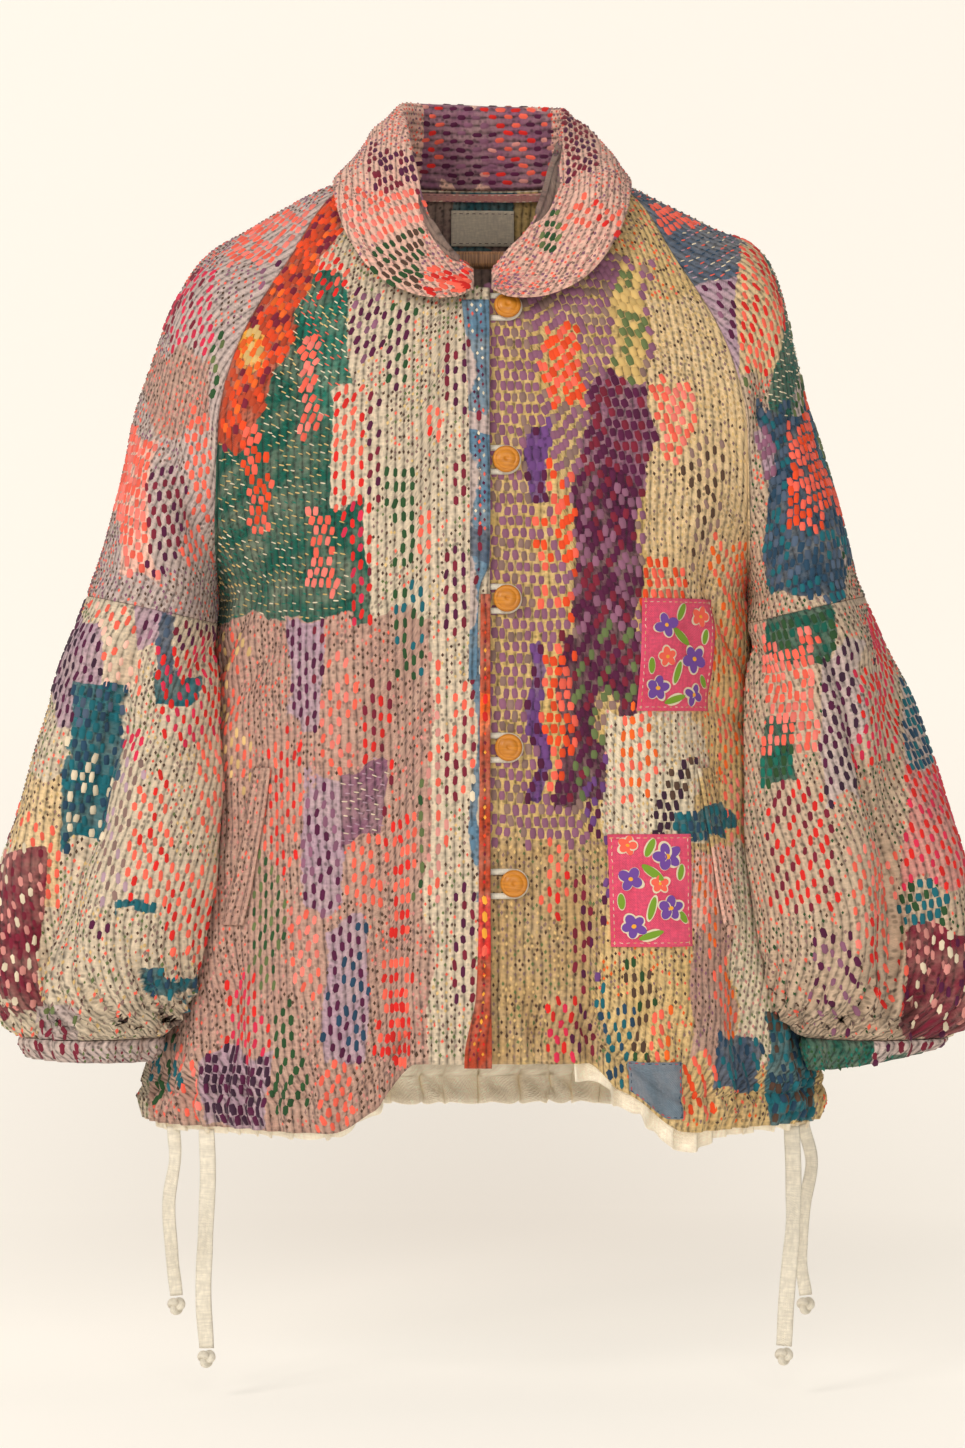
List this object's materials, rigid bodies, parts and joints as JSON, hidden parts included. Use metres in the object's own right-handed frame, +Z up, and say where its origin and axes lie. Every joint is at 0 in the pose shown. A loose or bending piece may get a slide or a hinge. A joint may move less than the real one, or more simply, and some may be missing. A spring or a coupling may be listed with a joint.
{
  "type": "kantha bomber jacket on a wooden hanger bar",
  "caption": "Short quilted patchwork jacket with a rolled collar, raglan balloon sleeves, gathered hem and cuffs, hanging filled out on a bar.",
  "frame": {"origin": "centre of the hanger bar's top face, where the garment is held", "axes": "+Z up; the front faces -Y; +X is the wearer's left, which is the picture's right"},
  "size_m": [0.6827, 0.2824, 0.8792],
  "materials": {
    "cloth": "matt layered cotton, quilted with running stitches, patched and multicoloured",
    "sleeve_cloth": "matt layered cotton, quilted with running stitches, patched and multicoloured",
    "collar_cloth": "matt layered cotton, quilted with running stitches",
    "cream_cotton": "matt plain cotton",
    "blue_strip": "matt plain cotton",
    "orange_binding": "matt plain cotton",
    "pink_patch": "matt printed cotton",
    "slate_patch": "matt plain cotton",
    "label_tape": "satin woven tape",
    "button_wood": "semi-gloss turned wood",
    "bar_wood": "satin wood"
  },
  "bodies": {
    "root": {"front_right": "cloth", "front_left": "cloth", "back": "cloth", "neck_tape": "cloth", "pocket_right": "cloth", "pocket_left": "cloth", "sleeve_right_upper": "sleeve_cloth", "sleeve_right_lower": "sleeve_cloth", "sleeve_left_upper": "sleeve_cloth", "sleeve_left_lower": "sleeve_cloth", "cuff_right": "sleeve_cloth", "cuff_left": "sleeve_cloth", "collar": "collar_cloth", "hem_casing_right": "cream_cotton", "hem_casing_left": "cream_cotton", "hem_casing_back": "cream_cotton", "tape_1": "cream_cotton", "tape_2": "cream_cotton", "tape_3": "cream_cotton", "tape_4": "cream_cotton", "knot_1": "cream_cotton", "knot_2": "cream_cotton", "knot_3": "cream_cotton", "knot_4": "cream_cotton", "loop_1": "cream_cotton", "loop_2": "cream_cotton", "loop_3": "cream_cotton", "loop_4": "cream_cotton", "loop_5": "cream_cotton", "edge_strip": "blue_strip", "edge_binding": "orange_binding", "patch_pink_upper": "pink_patch", "patch_pink_lower": "pink_patch", "patch_slate": "slate_patch", "label": "label_tape", "button_1": "button_wood", "button_2": "button_wood", "button_3": "button_wood", "button_4": "button_wood", "button_5": "button_wood", "hanger_bar": "bar_wood"}
  },
  "joints": []
}
